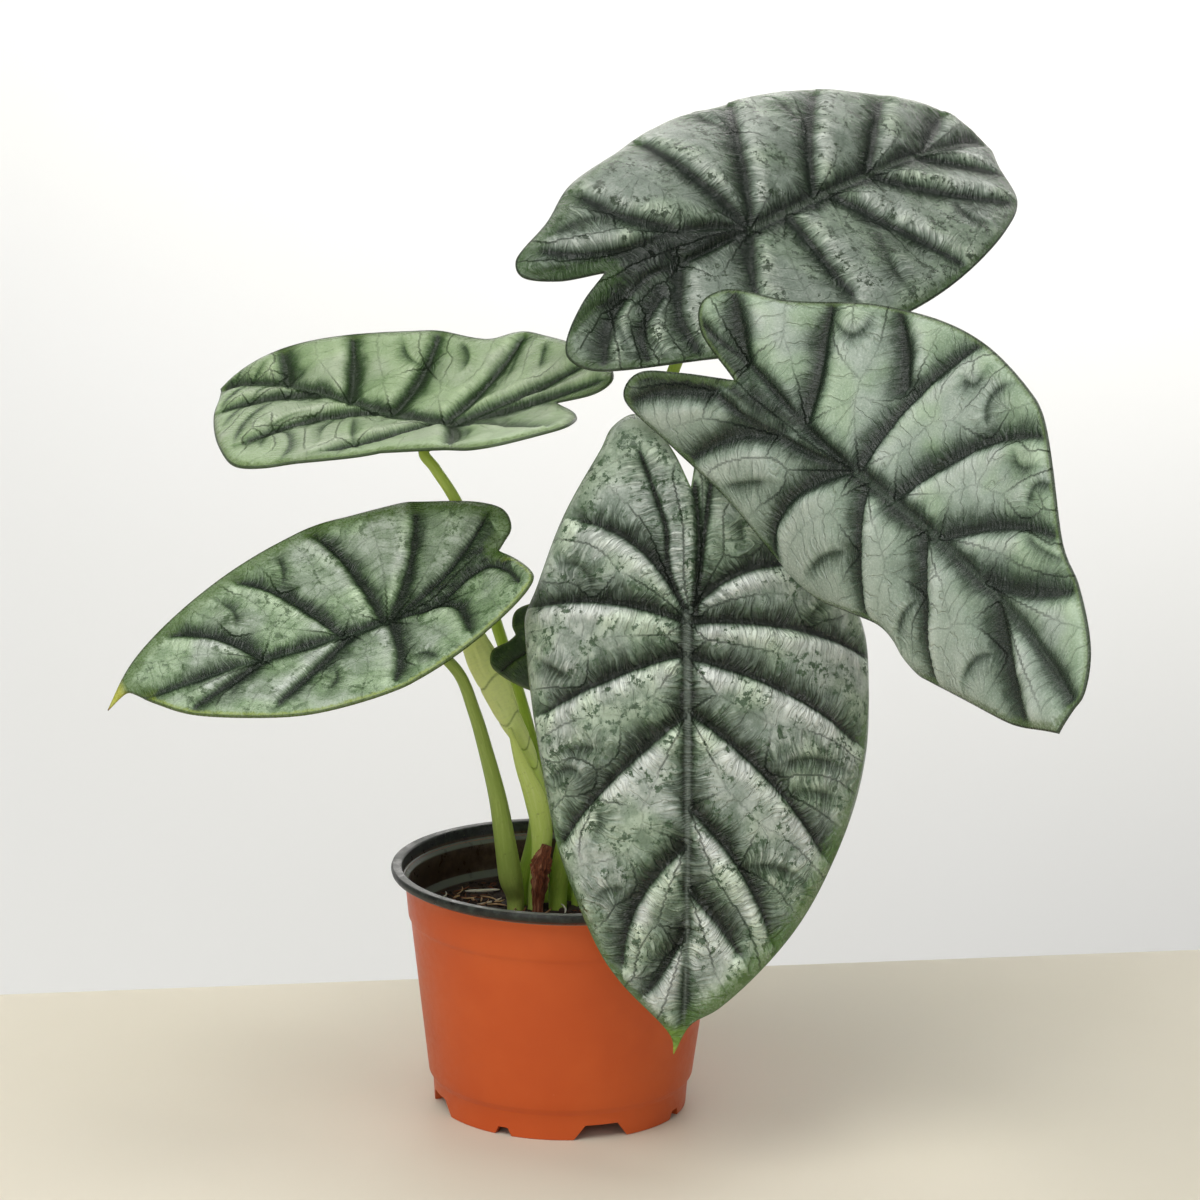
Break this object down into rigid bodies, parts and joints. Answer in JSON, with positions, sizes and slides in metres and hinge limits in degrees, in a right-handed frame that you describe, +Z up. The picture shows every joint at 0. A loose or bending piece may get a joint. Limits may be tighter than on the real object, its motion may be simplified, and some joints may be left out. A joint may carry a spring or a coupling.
{
  "type": "potted silver dragon alocasia",
  "caption": "Small houseplant in a nursery pot: thick quilted silver and green leaves on slim stalks rising from dark potting mix.",
  "frame": {"origin": "middle of the whole plant's footprint, on the floor", "axes": "+Z up, -Y towards the front of the plant, +X to the right seen from the front; the plant is longest along Y"},
  "size_m": [0.2968, 0.343, 0.326],
  "materials": {
    "pot": "thin terracotta-coloured plastic, black inside and on the rim",
    "potting_mix": "dark crumbly peat and bark",
    "silver_leaf": "stiff quilted leaf, silver between dark green veins, satin",
    "dark_leaf": "young glossy dark green leaf",
    "stalk": "smooth yellow-green stalk, satin",
    "young_leaf": "pale green rolled leaf and sheath, satin",
    "dry_sheath": "dry brown papery sheath"
  },
  "bodies": {
    "root": {"pot": "pot", "potting_mix": "potting_mix", "blade_a": "silver_leaf", "blade_b": "silver_leaf", "blade_c": "silver_leaf", "blade_d": "silver_leaf", "blade_e": "silver_leaf", "blade_f": "dark_leaf", "stalk_a": "stalk", "stalk_b": "stalk", "stalk_c": "stalk", "stalk_d": "stalk", "stalk_e": "stalk", "stalk_f": "stalk", "furled_leaf": "young_leaf", "sheath": "young_leaf", "cataphyll": "dry_sheath"}
  },
  "joints": []
}
